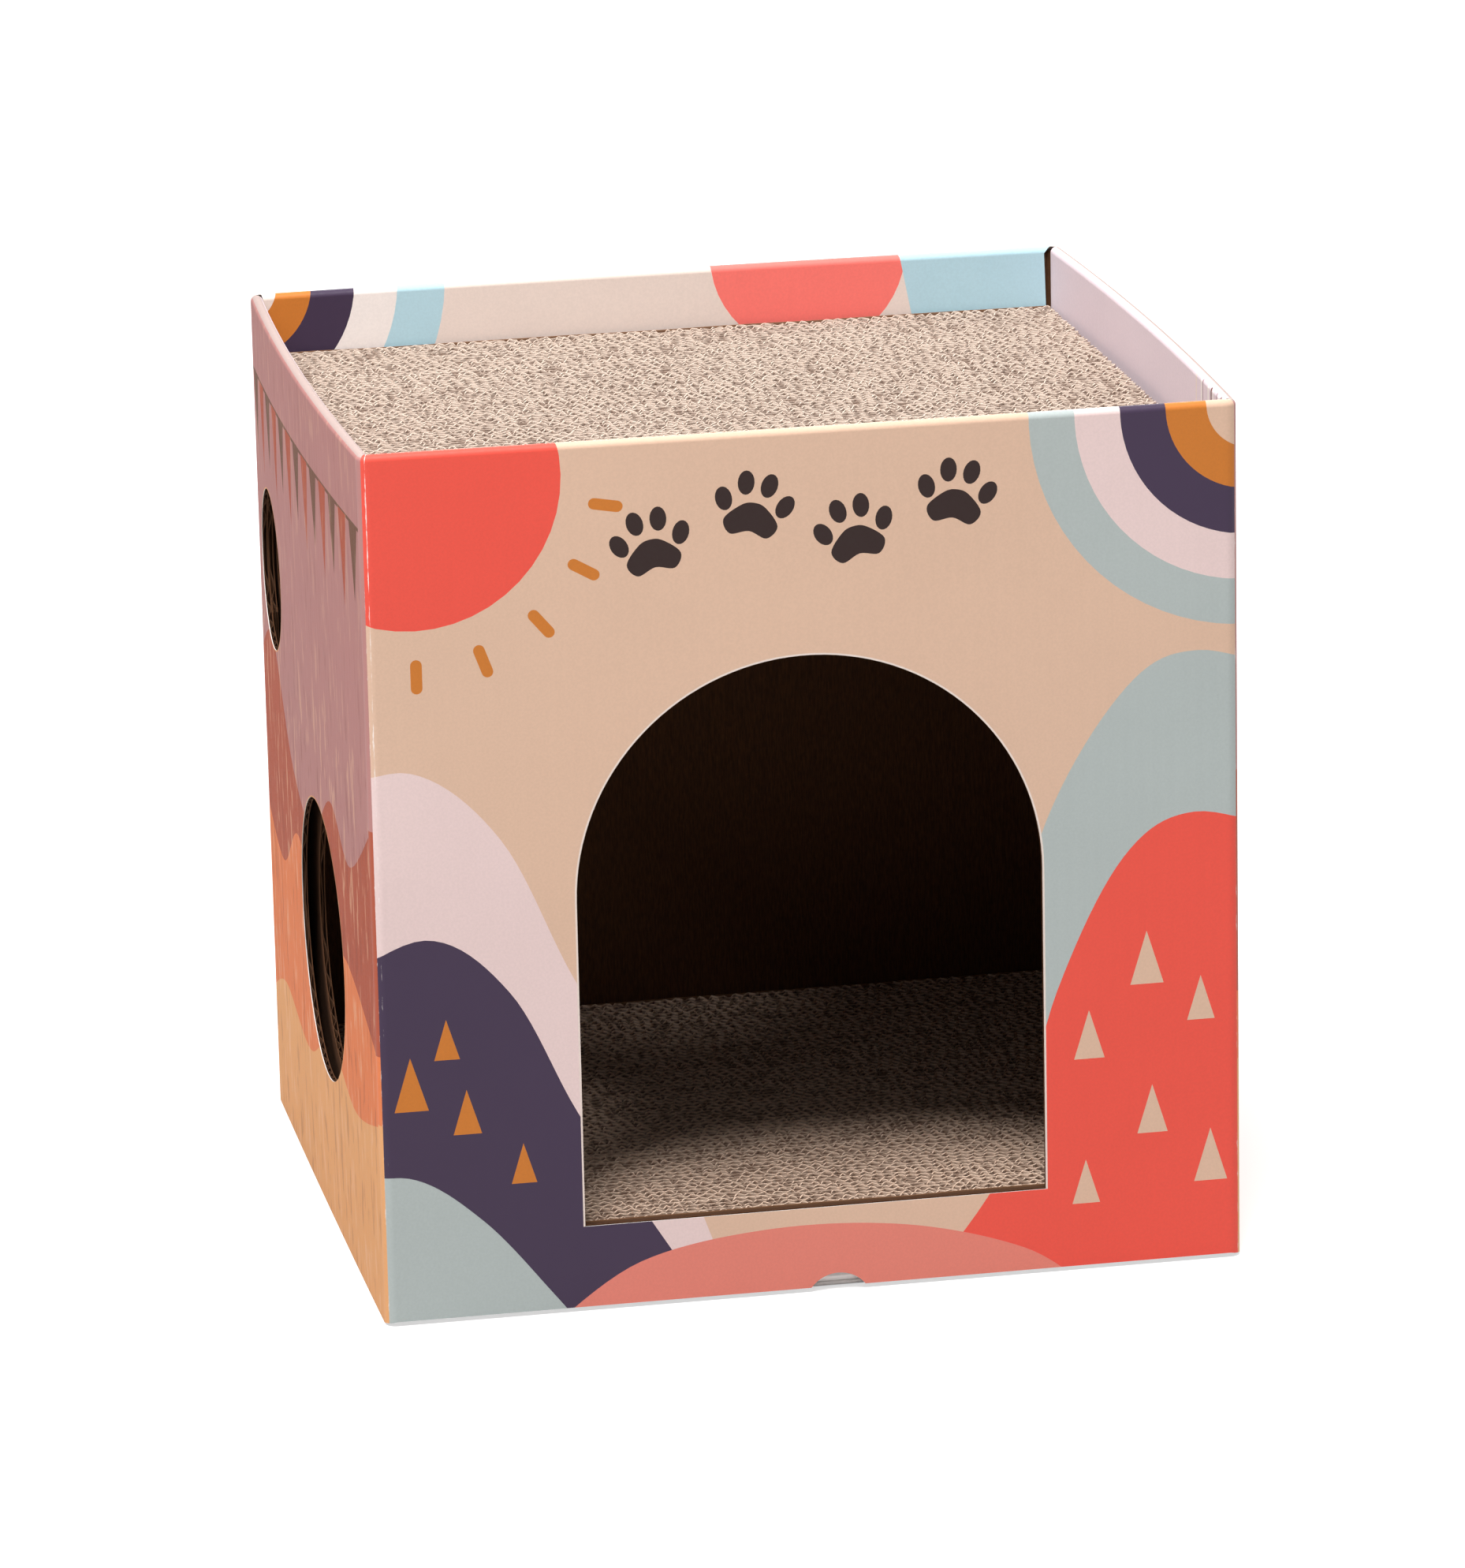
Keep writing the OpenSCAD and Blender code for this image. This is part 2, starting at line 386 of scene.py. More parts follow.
def flutes(piece, place, panels, near, far):
    """The wavy paper between two depths.

    A panel is (first u, last u, lowest v, knee v, rows of v past the knee).
    """
    middle, swing = (near + far) / 2, (far - near - FLUTE_PAPER) / 2
    for first, last, low, knee, rows in panels:
        count = max(2, round((last - first) / FLUTE_PITCH * FLUTE_SAMPLES))
        grid = []
        for u in np.linspace(first, last, count + 1):
            d = middle + swing * math.sin(2 * math.pi * u / FLUTE_PITCH)
            v0 = low(u) if callable(low) else low
            v1 = knee(u) if callable(knee) else knee
            vs = [v0 + (v1 - v0) * t for t in np.linspace(0, 1, FLUTE_ROWS)] + list(rows)
            grid.append([(piece.point(place(u, v, d - FLUTE_PAPER / 2), u, v),
                          piece.point(place(u, v, d + FLUTE_PAPER / 2), u, v)) for v in vs])
        rings = []
        for a, b in zip(grid, grid[1:]):
            for j in range(len(a) - 1):
                rings.append([a[j][0], b[j][0], b[j + 1][0], a[j + 1][0]])
                rings.append([a[j][1], a[j + 1][1], b[j + 1][1], b[j][1]])
            rings.append([a[0][0], a[0][1], b[0][1], b[0][0]])
            rings.append([a[-1][0], b[-1][0], b[-1][1], a[-1][1]])
        for column, turn in ((grid[0], 1), (grid[-1], -1)):
            for low_pair, high_pair in zip(column, column[1:]):
                rings.append([low_pair[0], high_pair[0], high_pair[1], low_pair[1]][::turn])
        for ring in rings:
            piece.face(ring, FLUTE, KRAFT)


def board(piece, place, outline, panels, holes=(), print_=(), ground=KRAFT, lines=(), dots=(), wear=None,
          outer=PRINT):
    """A sheet of board: the outer paper, the flutes and the inner paper."""
    inner = BOARD - PAPER
    edge = PALE if outer == PRINT else KRAFT
    brown = (KRAFT_FACE, KRAFT)
    paper(piece, place, outline, 0.0, PAPER, (outer, ground), (outer, edge), holes, print_, lines, dots, wear)
    paper(piece, place, outline, inner, BOARD, brown, brown, holes, (), lines, dots)
    flutes(piece, place, panels, PAPER, inner)


# Steps between the inner points of a flat board and of the small glue flap
FLAT_STEP, FLAP_STEP = 40.0, 12.0


def grid_dots(u0, u1, v0, v1, step):
    """Inner points of a sheet, in rows and columns."""
    nu, nv = max(2, round((u1 - u0) / step)), max(2, round((v1 - v0) / step))
    return [(u0 + (u1 - u0) * i / nu, v0 + (v1 - v0) * j / nv) for i in range(1, nu) for j in range(1, nv)]


# Rows of a wall sheet over its rim, and the rows that its flutes take past the bend
ROLL_STEPS = 12
ROLL_ROWS = [BEND_Z + math.pi * RIM_R * k / ROLL_STEPS for k in range(ROLL_STEPS + 1)]
OVER = ROLL_ROWS[2::2] + [(ROLL_END + SHEET_END) / 2, SHEET_END]

# Wear of the print: on the rim's crest, on the creases, and in the front's crack, which grows towards the top
RIM_WEAR, CREASE_WEAR = 0.8, 0.86
CRACK_WEAR, CRACK_GROWTH, CRACK_HALF = 0.74, 0.3, 1.2
ROLL_HALF = (ROLL_END - BEND_Z) / 2
CREASE_U = (LONG_HALF + ARC_HALF) / 2
CREASE_HALF = (ARC_HALF - LONG_HALF) / 2


def side_wear(u, v):
    """How worn the print is along the rolled rim."""
    return max(0.0, RIM_WEAR - abs(v - CREST) / ROLL_HALF)


def wall_wear(u, v):
    """How worn the print is along the rolled rim and along the corner creases."""
    return max(side_wear(u, v), CREASE_WEAR - abs(abs(u) - CREASE_U) / CREASE_HALF)


def front_wear(u, v):
    """Wear of the front, whose left crease has cracked beside its corner, most of all near the top."""
    crack = CRACK_WEAR + CRACK_GROWTH * v / CREST - abs(u + CRACK_U) / CRACK_HALF
    return max(wall_wear(u, v), crack)


# Lines along which a wall sheet bends: their numbers up the wall, down the lining and round a corner crease,
# their spacing along the wall, and how far they run past the sheet
WALL_STEPS, LINING_STEPS, CORNER_STEPS = 14, 4, 8
COLUMN_STEP = 11.0
OVERRUN = 1.0


def fold_lines(half, flat):
    """Bending lines of a sheet with a half width, of which the part within flat isn't in a corner crease."""
    rows = ROLL_ROWS + [BEND_Z * k / WALL_STEPS for k in range(1, WALL_STEPS)]
    rows += [ROLL_END + (SHEET_END - ROLL_END) * k / LINING_STEPS for k in range(1, LINING_STEPS)]
    count = 2 * round(flat / COLUMN_STEP)
    columns = [-flat + 2 * flat * k / count for k in range(count + 1)]
    if half > flat:
        for k in range(1, CORNER_STEPS + 1):
            u = flat + (half - flat) * k / CORNER_STEPS
            columns += [-u, u]
    lines = [((-half - OVERRUN, v), (half + OVERRUN, v)) for v in rows]
    return lines + [((u, -OVERRUN), (u, SHEET_END + OVERRUN)) for u in columns]


def long_outline(low_edge, snug):
    """A front or back sheet: the wall with its corner creases, then the rim and the narrower lining.

    On its snug side, 1 or -1, the lining reaches the side wall's.
    """
    def end(side):
        start, stop = LINING_HALF - LINING_FLARE, LINING_HALF + LINING_FLARE
        if side == snug:
            start = stop = SNUG_HALF
        corners = ((ARC_HALF, CREST), (LONG_HALF, CREST), (start, ROLL_END), (stop, SHEET_END))
        return [(side * u, v) for u, v in corners]
    return low_edge + end(1) + end(-1)[::-1]


def notch(u):
    """Lower edge of the front wall, with the thumb notch."""
    r = (NOTCH_HALF ** 2 + NOTCH_H ** 2) / (2 * NOTCH_H)
    w = u - NOTCH_U
    if abs(w) >= NOTCH_HALF:
        return FRONT_LIFT
    return FRONT_LIFT + NOTCH_H - r + math.sqrt(r * r - w * w)


def round_edge(u0, v0, r, side):
    """Height of a round opening's upper (1) or lower (-1) edge, as a function of u."""
    def edge(u):
        return v0 + side * math.sqrt(max(r * r - (u - u0) ** 2, 0.0))
    return edge


def panels_round(holes, first, last, low, knee, rows):
    """Panels of flutes from left to right: beside, under and over round holes (u, v, radius)."""
    panels, start = [], first
    for u, v, r in sorted(holes):
        panels.append((start, u - r, low, knee, rows))
        panels.append((u - r, u + r, low, round_edge(u, v, r, -1), ()))
        panels.append((u - r, u + r, round_edge(u, v, r, 1), knee, rows))
        start = u + r
    return panels + [(start, last, low, knee, rows)]


# Print of the house: a made-up scene of hills, a sun and a rainbow in the colours of the box

def rays(u, v, r, angles, colour, length=15.0, width=5.0):
    """Dashes round a sun, at angles in degrees."""
    return [(bar(*turned([(r, 0)], u, v, a)[0], length, width, a), colour) for a in angles]


def rainbow(u, v, start, stop, bands):
    return [(band(u, v, inner, outer, start, stop), colour) for inner, outer, colour in bands]


TREE_SHARE = 0.62


def trees(spots, colour):
    """Trees from their places and heights."""
    return [(tree(u, v, tall, tall * TREE_SHARE), colour) for u, v, tall in spots]


def corner_print(levels):
    """The side walls' print where it wraps round both creases: colours with the heights that they reach."""
    outer = ARC_HALF + OVERRUN
    return [(block(side * CREASE_U, -OVERRUN, side * outer, top), colour)
            for top, colour in levels for side in (-1, 1)]


FRONT_PRINT = [
    (hill((80, 120), (104, 205), (140, 262), (172, 276), (215, 262)), BLUE),
    (hill((40, -8), (84, 50), (108, 128), (138, 186), (170, 204), (215, 190)), CORAL),
    (hill((-215, 236), (-172, 246), (-134, 214), (-104, 150), (-70, 90), (-40, 10)), BLUSH),
    (hill((-215, 150), (-168, 172), (-132, 146), (-104, 90), (-74, 40), (-44, -8)), PLUM),
    (hill((-120, -8), (-78, 20), (-20, 30), (40, 27), (92, 12), (120, -8)), ROSE),
    (hill((-215, 62), (-178, 66), (-146, 44), (-116, 8), (-104, -8)), BLUE),
    (disc(-168, 372, 64), CORAL),
    *rays(-168, 372, 84, range(-110, 0, 20), OCHRE),
    *rainbow(196, 384, 90, 280, [(78, 98, BLUE), (58, 78, BLUSH), (38, 58, PLUM), (20, 38, OCHRE)]),
    *trees([(-176, 96, 24), (-152, 84, 20), (-128, 60, 18), (-160, 118, 18)], OCHRE),
    *trees([(122, 96, 22), (148, 128, 24), (172, 110, 20), (150, 60, 22), (176, 36, 24), (120, 30, 20)], TAN),
    *((loop, DARK) for u, v, lean in ((-66, 338, 10), (-22, 351, -12), (22, 338, 12), (66, 351, -10))
      for loop in paw(u, v, 27, lean)),
    (arch(DOOR_MARGIN), BEIGE),
    *corner_print([(SHEET_END, DUSTY), (DUSTY_START, PINK), (221, CLAY), (121, APRICOT), (90, SAND)]),
]

BACK_PRINT = [
    (hill((-215, 190), (-150, 216), (-80, 182), (0, 196), (70, 236), (140, 222), (215, 248)), BLUE),
    (hill((-215, 120), (-160, 110), (-96, 150), (-30, 120), (40, 92), (120, 140), (215, 170)), CORAL),
    (hill((-215, 70), (-150, 84), (-90, 52), (-20, 46), (60, 82), (130, 62), (215, 40)), PLUM),
    (hill((-215, 22), (-140, 20), (-60, 30), (30, 16), (110, 30), (215, 18)), ROSE),
    (disc(-70, 384, 46), SALMON),
    *rays(-70, 384, 66, range(-170, 0, 20), OCHRE),
    *rainbow(196, 384, 80, 280, [(74, 96, SKY), (54, 74, PALE), (34, 54, PLUM), (18, 34, OCHRE)]),
    *trees([(-150, 44, 22), (-120, 30, 20), (60, 40, 22), (90, 36, 24), (120, 28, 20)], OCHRE),
    *trees([(-100, 96, 22), (-70, 84, 22), (120, 92, 24), (160, 100, 24), (0, 66, 20)], TAN),
    ([(-195, BEND_Z), (-112, BEND_Z), (-128, SHEET_END + 1), (-195, SHEET_END + 1)], SKY),
    *corner_print([(SHEET_END, DUSTY), (DUSTY_START, PINK), (219, CLAY), (147, APRICOT), (56, SAND)]),
]


# Creases at the front end of a side's lining, drawn as lines: pale edges of its layers, and painted shade in
# mauve and brown in the gaps between them; place along the wall, width and colour
CREASE_EDGES_AND_SHADE = [
    (108, 2.0, BEIGE), (118, 2.0, PALE), (121, 1.6, PAINTED_LILAC_SHADE), (132, 2.4, PALE), (138, 2.0, BROWN),
    (142, 2.0, PALE), (149, 1.6, PAINTED_LILAC_SHADE), (153, 2.2, PALE), (157, 1.4, BROWN),
]
# Pennants of the side walls: their string, and the spacing, number, half width and two heights of the tips
STRING_Z, STRING_LENGTH, STRING_WIDE = 352, 400, 1.6
PENNANT_STEP, PENNANT_COUNT, PENNANT_HALF = 25, 13, 9
PENNANT_TIPS = (318, 310)
# The side walls' print runs past their ends to here.
PRINT_END = 175


def side_print(mirror):
    """Print of a side wall; the right wall's is the left wall's mirrored, without the painted shade past the
    crest of the left rim.
    """
    shapes = [
        (hill((-175, 214), (-120, 236), (-60, 190), (0, 176), (60, 206), (110, 190), (175, 226)), CLAY),
        (hill((-175, 150), (-110, 132), (-50, 160), (20, 128), (90, 142), (175, 118)), APRICOT),
        (hill((-175, 52), (-120, 70), (-40, 62), (30, 88), (100, 76), (175, 92)), SAND),
        (bar(0, STRING_Z, STRING_LENGTH, STRING_WIDE, 0), BROWN),
    ]
    for i in range(PENNANT_COUNT):
        u = PENNANT_STEP * (i - PENNANT_COUNT // 2)
        flag = [(u - PENNANT_HALF, STRING_Z), (u, PENNANT_TIPS[i % 2]), (u + PENNANT_HALF, STRING_Z)]
        shapes.append((flag, CLAY if i % 2 else BROWN))
    # On the left wall the dusty band runs on past the crest as painted shade on the rim.
    for top, colour in ((SHEET_END + OVERRUN, LILAC), (CREST if mirror else DUSTY_SHADE_END, DUSTY)):
        shapes.append((block(-PRINT_END, DUSTY_START, PRINT_END, top), colour))
    # Crease lines: pale layer edges, and painted shade in the gaps between them
    for u, wide, colour in CREASE_EDGES_AND_SHADE:
        shapes.append((bar(u, (ROLL_END + SHEET_END) / 2, SHEET_END - CREST, wide, 90), colour))
    if mirror:
        shapes = [([(-u, v) for u, v in loop], colour) for loop, colour in shapes]
    return shapes


# Materials

class Graph:
    """The node tree of a material or of the world, with short ways to add what they share."""

    def __init__(self, owner, shader="Principled BSDF"):
        self.owner = owner
        owner.use_nodes = True
        self.tree = owner.node_tree
        self.surface = self.tree.nodes[shader]

    def node(self, kind, inputs, **settings):
        made = self.tree.nodes.new("ShaderNode" + kind)
        for key, value in settings.items():
            setattr(made, key, value)
        for key, value in inputs.items():
            self.set(made.inputs[key], value)
        return made

    def set(self, socket, value):
        if isinstance(value, bpy.types.NodeSocket):
            self.tree.links.new(value, socket)
        else:
            socket.default_value = value

    def coords(self, stretch=(1, 1, 1), uv=False):
        source = self.node("TexCoord", {}).outputs["UV" if uv else "Object"]
        return self.node("Mapping", {"Vector": source, "Scale": stretch}).outputs[0]

    def noise(self, vector, scale, detail=3.0, roughness=0.55):
        inputs = {"Vector": vector, "Scale": scale, "Detail": detail, "Roughness": roughness}
        return self.node("TexNoise", inputs).outputs[0]

    def along(self, axis, uv=False):
        """One coordinate: 0, 1 or 2 for X, Y or Z, in metres or in units of UV."""
        return self.node("SeparateXYZ", {0: self.coords(uv=uv)}).outputs[axis]

    def remap(self, value, low, high, to_low=0.0, to_high=1.0):
        ranges = {"Value": value, "From Min": low, "From Max": high, "To Min": to_low, "To Max": to_high}
        return self.node("MapRange", ranges, interpolation_type="SMOOTHSTEP").outputs[0]

    def math(self, kind, a, b=0.0):
        return self.node("Math", {0: a, 1: b}, operation=kind).outputs[0]

    def mix(self, factor, a, b, blend="MIX"):
        return self.node("Mix", {0: factor, 6: a, 7: b}, data_type="RGBA", blend_type=blend).outputs[2]

    def ink(self):
        made = self.node("Attribute", {}, attribute_name="ink")
        return made.outputs["Color"], made.outputs["Alpha"]

    def seen(self):
        """1 for the rays that show a surface and 0 for those that light it."""
        path = self.node("LightPath", {})
        shown = self.math("MAXIMUM", path.outputs["Is Camera Ray"], path.outputs["Is Glossy Ray"])
        return self.math("MAXIMUM", shown, path.outputs["Is Transmission Ray"])

    def finish(self, height, distance, strength=1.0, **sockets):
        bump = self.node("Bump", {"Height": height, "Distance": distance, "Strength": strength})
        self.set(self.surface.inputs["Normal"], bump.outputs[0])
        for key, value in sockets.items():
            self.set(self.surface.inputs[key.replace("_", " ")], value)
        return self.owner


def new_graph(name):
    return Graph(bpy.data.materials.new(name))


def full(colour):
    return (*colour, 1.0)


# Brush marks of the side walls: how they are stretched, and the heights between which they fade
BRUSH_STRETCH = (1.0, 170.0, 36.0)
FADE_LOW, FADE_HIGH = 210, 290


def brushed(g, colour):
    """A colour with pale and dark brush marks, fainter above and gone over the rim."""
    brush = g.noise(g.coords(BRUSH_STRETCH), 1.0, 4.0, 0.55)
    height = g.along(1, uv=True)
    below = g.math("LESS_THAN", height, DUSTY_START / UV_UNIT)
    below = g.math("MULTIPLY", below, g.remap(height, FADE_LOW / UV_UNIT, FADE_HIGH / UV_UNIT, 1.0, 0.45))
    light = g.math("MULTIPLY", g.remap(brush, 0.56, 0.64, 0.0, 0.38), below)
    dark = g.math("MULTIPLY", g.remap(brush, 0.43, 0.35, 0.0, 0.28), below)
    colour = g.mix(light, colour, full(STREAK_LIGHT))
    return g.mix(dark, colour, full(STREAK_DARK))


def print_material(name, axis, sheen, streaks=False):
    """Satin print on a paper over flutes, worn pale where the board is creased.

    The flutes repeat along the axis.
    """
    g = new_graph(name)
    colour, wear = g.ink()
    grain = g.noise(g.coords(), 900.0, 2.0)
    cloud = g.noise(g.coords(), 14.0, 4.0)
    if streaks:
        colour = brushed(g, colour)
    mottle = g.math("ADD", g.remap(cloud, 0.3, 0.72, 0.0, 0.03), g.remap(grain, 0.3, 0.72, 0.935, 0.985))
    grey = g.node("CombineColor", {0: mottle, 1: mottle, 2: mottle}).outputs[0]
    colour = g.mix(1.0, colour, grey, "MULTIPLY")
    crack = g.noise(g.coords((1.0, 1.0, 0.25)), 520.0, 4.0, 0.7)
    crack = g.node("Math", {0: crack, 1: 0.9, 2: -0.45}, operation="MULTIPLY_ADD").outputs[0]
    worn = g.remap(g.math("ADD", wear, crack), 0.86, 1.04, 0.0, 0.85)
    colour = g.mix(worn, colour, full(PALE))
    ridge = g.math("SINE", g.math("MULTIPLY", g.along(axis), 2 * math.pi / (FLUTE_PITCH * MM)))
    height = g.math("ADD", g.math("MULTIPLY", ridge, 0.5), g.math("MULTIPLY", grain, 0.35))
    rough = g.remap(grain, 0.2, 0.8, 0.46, 0.62)
    return g.finish(height, 0.00004, 0.8, Base_Color=colour, Roughness=rough, Specular_IOR_Level=sheen)


def kraft_material(name, tint, shade):
    """Brown paper with fibres."""
    g = new_graph(name)
    fibre = g.noise(g.coords((1.0, 1.0, 0.12)), 1400.0, 5.0, 0.7)
    cloud = g.noise(g.coords(), 22.0, 4.0)
    colour = g.mix(g.remap(fibre, 0.3, 0.72), full(shade), full(tint))
    colour = g.mix(g.remap(cloud, 0.3, 0.75, 0.0, 0.22), colour, full(shade))
    rough = g.remap(fibre, 0.2, 0.8, 0.78, 0.95)
    return g.finish(fibre, 0.00008, 0.7, Base_Color=colour, Roughness=rough, Specular_IOR_Level=0.25)


# Depths under a pad's top at which the painted shade between its papers starts and is darkest
PAINTED_SHADE_START, PAINTED_SHADE_FULL = 0.35, 1.7


def pad_material(name, top, tint, shade):
    """Cut edges of strips of board, each strip of its own tone, with shade painted darker down between the
    papers.
    """
    g = new_graph(name)
    tone, _ = g.ink()
    fibre = g.noise(g.coords(), 1600.0, 4.0, 0.7)
    cloud = g.noise(g.coords(), 20.0, 3.0)
    colour = g.mix(g.remap(fibre, 0.25, 0.72), full(shade), full(tint))
    colour = g.mix(g.remap(cloud, 0.35, 0.75, 0.0, 0.16), colour, full(shade))
    colour = g.mix(1.0, colour, tone, "MULTIPLY")
    # Painted shade: the papers darken with depth under the pad's top.
    painted_shade = g.remap(g.along(2), (top - PAINTED_SHADE_START) * MM, (top - PAINTED_SHADE_FULL) * MM, 0.0, 0.84)
    colour = g.mix(painted_shade, colour, full(PAD_PAINTED_SHADE))
    rough = g.remap(fibre, 0.2, 0.8, 0.8, 0.96)
    return g.finish(fibre, 0.0001, 0.8, Base_Color=colour, Roughness=rough, Specular_IOR_Level=0.3)


print_front = print_material("printed_front_paper", 0, 0.24)
print_side = print_material("printed_side_paper", 1, 0.02, True)
print_base = print_material("pale_base_paper", 0, 0.25)
# Kraft and flute papers are written darker than plain kraft: painted shade, so the inside of the house and
# the cut edges in its holes read dark.
kraft_and_shade = kraft_material("kraft_and_shade_paper", rgb(108, 70, 43), rgb(74, 46, 28))
flute_and_shade = kraft_material("flute_and_shade_paper", rgb(96, 63, 40), rgb(62, 40, 25))

# Walls

# The front's corners come nearly down to the floor.
CORNER_LIFT = 0.2
NOTCH_POINTS = 25
notch_ends = (NOTCH_U - NOTCH_HALF, NOTCH_U + NOTCH_HALF)
lower_front = [(-ARC_HALF, CORNER_LIFT), (-LONG_HALF, FRONT_LIFT)]
lower_front += [(u, notch(u)) for u in np.linspace(*notch_ends, NOTCH_POINTS)]
lower_front += [(LONG_HALF, FRONT_LIFT), (ARC_HALF, CORNER_LIFT)]

piece = Piece()
board(piece, front.place, long_outline(lower_front, -1), [
    (-ARC_HALF, -LINING_HALF, FRONT_LIFT, BEND_Z, ()),
    (-LINING_HALF, -DOOR_HALF, FRONT_LIFT, BEND_Z, OVER),
    (-DOOR_HALF, DOOR_HALF, notch, SILL, ()),
    (-DOOR_HALF, DOOR_HALF, round_edge(0.0, ARCH_Z, DOOR_HALF, 1), BEND_Z, OVER),
    (DOOR_HALF, LINING_HALF, FRONT_LIFT, BEND_Z, OVER),
    (LINING_HALF, ARC_HALF, FRONT_LIFT, BEND_Z, ()),
], [arch()], FRONT_PRINT, TAN, fold_lines(ARC_HALF, LONG_HALF), (), front_wear)
piece.build("front_sheet", "house", ["front_wall", "front_rim", "front_lining"],
            [print_front, kraft_and_shade, flute_and_shade])

piece = Piece()
lower_back = [(-ARC_HALF, 0.0), (ARC_HALF, 0.0)]
board(piece, back.place, long_outline(lower_back, 1), [
    (-ARC_HALF, -LINING_HALF, 0.0, BEND_Z, ()),
    (-LINING_HALF, LINING_HALF, 0.0, BEND_Z, OVER),
    (LINING_HALF, ARC_HALF, 0.0, BEND_Z, ()),
], (), BACK_PRINT, BEIGE, fold_lines(ARC_HALF, LONG_HALF), (), wall_wear)
piece.build("back_sheet", "house", ["back_wall", "back_rim", "back_lining"],
            [print_front, kraft_and_shade, flute_and_shade])

# The sides' rims and linings are a little narrower than their walls.
SIDE_TRIM = 0.6
SIDE_RIM_HALF = SHORT_HALF - SIDE_TRIM
side_end = [(SHORT_HALF, 0.0), (SHORT_HALF, CREST), (SIDE_RIM_HALF, ROLL_END), (SIDE_RIM_HALF, SHEET_END)]
side_outline = side_end + [(-u, v) for u, v in side_end[::-1]]

# Round holes on the left wall, with the points of their outline and the pale margin of their cut
HOLES = [LARGE_HOLE, SMALL_HOLE]
HOLE_POINTS, HOLE_MARGIN = 96, 0.5
left_holes = [(-y, z, r) for y, z, r in HOLES]


def side_wall(name, wall, holes):
    """A side wall's sheet, with holes (u, v, radius)."""
    loops = [disc(u, v, r, n=HOLE_POINTS) for u, v, r in holes]
    margins = [(disc(u, v, r + HOLE_MARGIN, n=HOLE_POINTS), SAND) for u, v, r in holes]
    panels = panels_round(holes, -SIDE_RIM_HALF, SIDE_RIM_HALF, 0.0, BEND_Z, OVER)
    piece = Piece()
    board(piece, wall.place, side_outline, panels, loops, side_print(name == "right") + margins, PINK,
          fold_lines(SHORT_HALF, SHORT_HALF), (), side_wear)
    piece.build(name + "_sheet", "house", [name + "_wall", name + "_rim", name + "_lining"],
                [print_side, kraft_and_shade, flute_and_shade])


side_wall("left", left, left_holes)
side_wall("right", right, [])

# Glue flap inside the left wall, against the back wall: its gap to the wall, its slanted ends, and how far
# its flutes stop short of these
FLAP_GAP, FLAP_SLANT, FLAP_SHORT = 0.1, 12.0, 8.0
flap_low, flap_high = mm_box("seam_flap")
flap_rear, flap_end = -min(flap_high[1], SHORT_HALF), -flap_low[1]
flap_foot, flap_top = flap_low[2], flap_high[2]
slant_foot, slant_top = flap_foot + FLAP_SLANT, flap_top - FLAP_SLANT
flap_outline = [(flap_rear, flap_foot), (flap_end, slant_foot), (flap_end, slant_top), (flap_rear, flap_top)]
hole_u, hole_v, hole_r = left_holes[1]
flap_panels = [
    (flap_rear, hole_u - hole_r, flap_foot + FLAP_SHORT, flap_top - FLAP_SHORT, ()),
    (hole_u - hole_r, flap_end, slant_foot, round_edge(hole_u, hole_v, hole_r, -1), ()),
    (hole_u - hole_r, flap_end, round_edge(hole_u, hole_v, hole_r, 1), slant_top, ()),
]


def flap_place(u, v, d):
    """A point of the flap, which lies on the left wall's inner face."""
    return left.place(u, v, d + BOARD + FLAP_GAP)


piece = Piece()
board(piece, flap_place, flap_outline, flap_panels, [disc(hole_u, hole_v, hole_r, n=HOLE_POINTS)],
      dots=grid_dots(flap_rear, flap_end, slant_foot, slant_top, FLAP_STEP), outer=KRAFT_FACE)
piece.build("glue_flap", "house", ["seam_flap"], [print_base, kraft_and_shade, flute_and_shade])

# Shelf insert: one sheet folded into a deck and two legs
FOLD_R, FOLD_STEPS = 4.0, 4
deck_high = mm_box("shelf_deck")[1]
leg_low, leg_high = mm_box("shelf_left_leg")
LEG = deck_high[2] - FOLD_R - leg_low[2]
TURN = FOLD_R * math.pi / 2
SPAN = 2 * (deck_high[0] - FOLD_R)
PATH = 2 * LEG + 2 * TURN + SPAN


def shelf_place(y, u, d):
    """A point of the insert: u runs up the left leg, across the deck and down the right leg."""
    side = -1
    if u > PATH / 2:
        side, u = 1, PATH - u
    if u <= LEG:
        return (side * (deck_high[0] - d), y, leg_low[2] + u)
    a = min((u - LEG) / FOLD_R, math.pi / 2)
    along = max(u - LEG - TURN, 0.0)
    x = deck_high[0] - FOLD_R + (FOLD_R - d) * math.cos(a) - along
    return (side * x, y, deck_high[2] - FOLD_R + (FOLD_R - d) * math.sin(a))


shelf_folds = [LEG + TURN * k / FOLD_STEPS for k in range(FOLD_STEPS + 1)]
shelf_folds += [PATH - u for u in shelf_folds]
leg_y, deck_y = leg_high[1], deck_high[1]
shelf_edge = [(leg_y, PATH), (leg_y, PATH - LEG), (deck_y, PATH - LEG - TURN), (deck_y, LEG + TURN),
              (leg_y, LEG), (leg_y, 0)]
shelf_outline = [(-y, u) for y, u in shelf_edge[::-1]] + shelf_edge
shelf_holes = [(y, z - leg_low[2], r) for y, z, r in HOLES]
shelf_rows = sorted(shelf_folds)[1:] + [PATH]
piece = Piece()
board(piece, shelf_place, shelf_outline, panels_round(shelf_holes, -leg_y, leg_y, 0.0, LEG, shelf_rows),
      [disc(y, u, r, n=HOLE_POINTS) for y, u, r in shelf_holes],
      lines=[((-deck_y, u), (deck_y, u)) for u in shelf_folds],
      dots=grid_dots(-leg_y, leg_y, 0, PATH, FLAT_STEP), outer=KRAFT_FACE)
